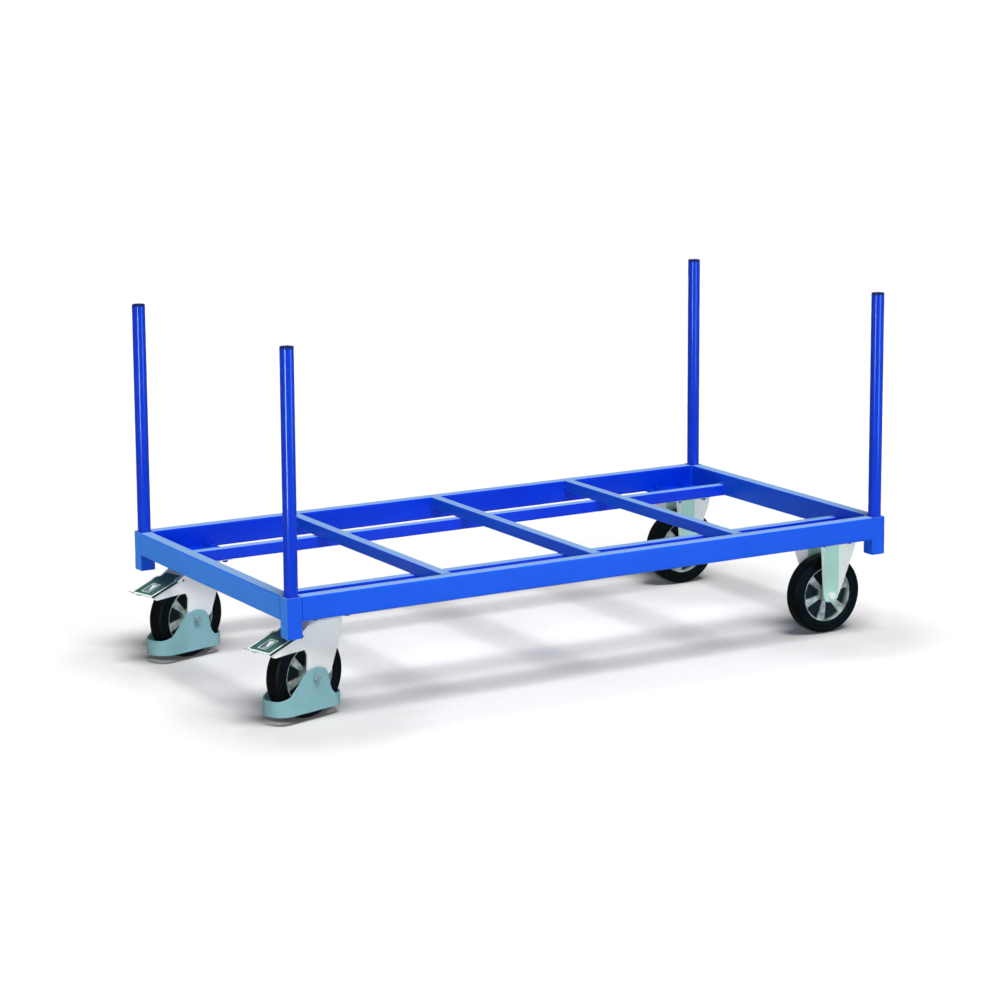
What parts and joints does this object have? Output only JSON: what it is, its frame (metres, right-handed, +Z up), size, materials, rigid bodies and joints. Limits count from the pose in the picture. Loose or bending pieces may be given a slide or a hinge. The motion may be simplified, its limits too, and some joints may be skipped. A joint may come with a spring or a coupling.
{
  "type": "stake cart",
  "caption": "Flat open-frame platform cart with lift-out corner stakes, braked swivel casters with foot guards at one end and fixed casters at the other.",
  "frame": {"origin": "on the floor, under the middle of the overall length and width, pedals included", "axes": "+X along the cart towards the fixed casters, +Y towards the far side, +Z up"},
  "size_m": [1.7334, 0.84, 0.8615],
  "materials": {
    "frame_paint": "gloss",
    "stake_paint": "gloss",
    "cap_plastic": "satin",
    "zinc": "bright zinc plate",
    "guard_paint": "satin",
    "pedal_zinc": "satin zinc plate",
    "rim_plastic": "satin",
    "tyre_rubber": "satin rubber"
  },
  "bodies": {
    "frame": {"side_rail_near": "frame_paint", "side_rail_far": "frame_paint", "end_rail_swivel": "frame_paint", "end_rail_fixed": "frame_paint", "cross_member_1": "frame_paint", "cross_member_2": "frame_paint", "cross_member_3": "frame_paint", "lower_bar_near": "frame_paint", "lower_bar_far": "frame_paint", "post_swivel_near": "frame_paint", "mount_plate_swivel_near": "frame_paint", "post_swivel_far": "frame_paint", "mount_plate_swivel_far": "frame_paint", "post_fixed_near": "frame_paint", "mount_plate_fixed_near": "frame_paint", "post_fixed_far": "frame_paint", "mount_plate_fixed_far": "frame_paint", "fixed_fork_near": "zinc", "axle_bolt_fixed_near": "zinc", "axle_nut_fixed_near": "zinc", "top_plate_swivel_near": "zinc", "kingpin_near": "zinc", "fixed_fork_far": "zinc", "axle_bolt_fixed_far": "zinc", "axle_nut_fixed_far": "zinc", "top_plate_swivel_far": "zinc", "kingpin_far": "zinc"},
    "stake_swivel_near": {"stake_swivel_near": "stake_paint", "stake_cap_swivel_near": "cap_plastic"},
    "stake_swivel_far": {"stake_swivel_far": "stake_paint", "stake_cap_swivel_far": "cap_plastic"},
    "stake_fixed_near": {"stake_fixed_near": "stake_paint", "stake_cap_fixed_near": "cap_plastic"},
    "stake_fixed_far": {"stake_fixed_far": "stake_paint", "stake_cap_fixed_far": "cap_plastic"},
    "swivel_near": {"swivel_fork_near": "zinc", "swivel_bearing_near": "zinc", "foot_guard_near": "guard_paint", "axle_bolt_swivel_near": "zinc", "axle_nut_swivel_near": "zinc", "pedal_pin_near": "zinc"},
    "pedal_near": {"brake_pedal_near": "pedal_zinc"},
    "swivel_far": {"swivel_fork_far": "zinc", "swivel_bearing_far": "zinc", "foot_guard_far": "guard_paint", "axle_bolt_swivel_far": "zinc", "axle_nut_swivel_far": "zinc", "pedal_pin_far": "zinc"},
    "pedal_far": {"brake_pedal_far": "pedal_zinc"},
    "wheel_swivel_near": {"rim_swivel_near": "rim_plastic", "tyre_swivel_near": "tyre_rubber"},
    "wheel_swivel_far": {"rim_swivel_far": "rim_plastic", "tyre_swivel_far": "tyre_rubber"},
    "wheel_fixed_near": {"rim_fixed_near": "rim_plastic", "tyre_fixed_near": "tyre_rubber"},
    "wheel_fixed_far": {"rim_fixed_far": "rim_plastic", "tyre_fixed_far": "tyre_rubber"}
  },
  "joints": [
    {"name": "stake_lift_swivel_near", "type": "slide", "parent": "frame", "child": "stake_swivel_near", "axis": [0, 0, 1], "range_m": [0, 0.11]},
    {"name": "stake_lift_swivel_far", "type": "slide", "parent": "frame", "child": "stake_swivel_far", "axis": [0, 0, 1], "range_m": [0, 0.11]},
    {"name": "stake_lift_fixed_near", "type": "slide", "parent": "frame", "child": "stake_fixed_near", "axis": [0, 0, 1], "range_m": [0, 0.11]},
    {"name": "stake_lift_fixed_far", "type": "slide", "parent": "frame", "child": "stake_fixed_far", "axis": [0, 0, 1], "range_m": [0, 0.11]},
    {"name": "swivel_turn_near", "type": "hinge", "parent": "frame", "child": "swivel_near", "pos_m": [-0.66132, -0.32, 0.232], "axis": [0, 0, 1], "continuous": true},
    {"name": "wheel_spin_swivel_near", "type": "hinge", "parent": "swivel_near", "child": "wheel_swivel_near", "pos_m": [-0.71155, -0.33346, 0.1], "axis": [-0.2588, 0.9659, 0], "continuous": true},
    {"name": "pedal_lift_near", "type": "hinge", "parent": "swivel_near", "child": "pedal_near", "pos_m": [-0.74439, -0.34226, 0.199], "axis": [-0.2588, 0.9659, 0], "range_deg": [0, 5]},
    {"name": "wheel_spin_fixed_near", "type": "hinge", "parent": "frame", "child": "wheel_fixed_near", "pos_m": [0.75168, -0.32, 0.1], "axis": [0, 1, 0], "continuous": true},
    {"name": "swivel_turn_far", "type": "hinge", "parent": "frame", "child": "swivel_far", "pos_m": [-0.66132, 0.32, 0.232], "axis": [0, 0, 1], "continuous": true},
    {"name": "wheel_spin_swivel_far", "type": "hinge", "parent": "swivel_far", "child": "wheel_swivel_far", "pos_m": [-0.71155, 0.30654, 0.1], "axis": [-0.2588, 0.9659, 0], "continuous": true},
    {"name": "pedal_lift_far", "type": "hinge", "parent": "swivel_far", "child": "pedal_far", "pos_m": [-0.74439, 0.29774, 0.199], "axis": [-0.2588, 0.9659, 0], "range_deg": [0, 5]},
    {"name": "wheel_spin_fixed_far", "type": "hinge", "parent": "frame", "child": "wheel_fixed_far", "pos_m": [0.75168, 0.32, 0.1], "axis": [0, 1, 0], "continuous": true}
  ]
}
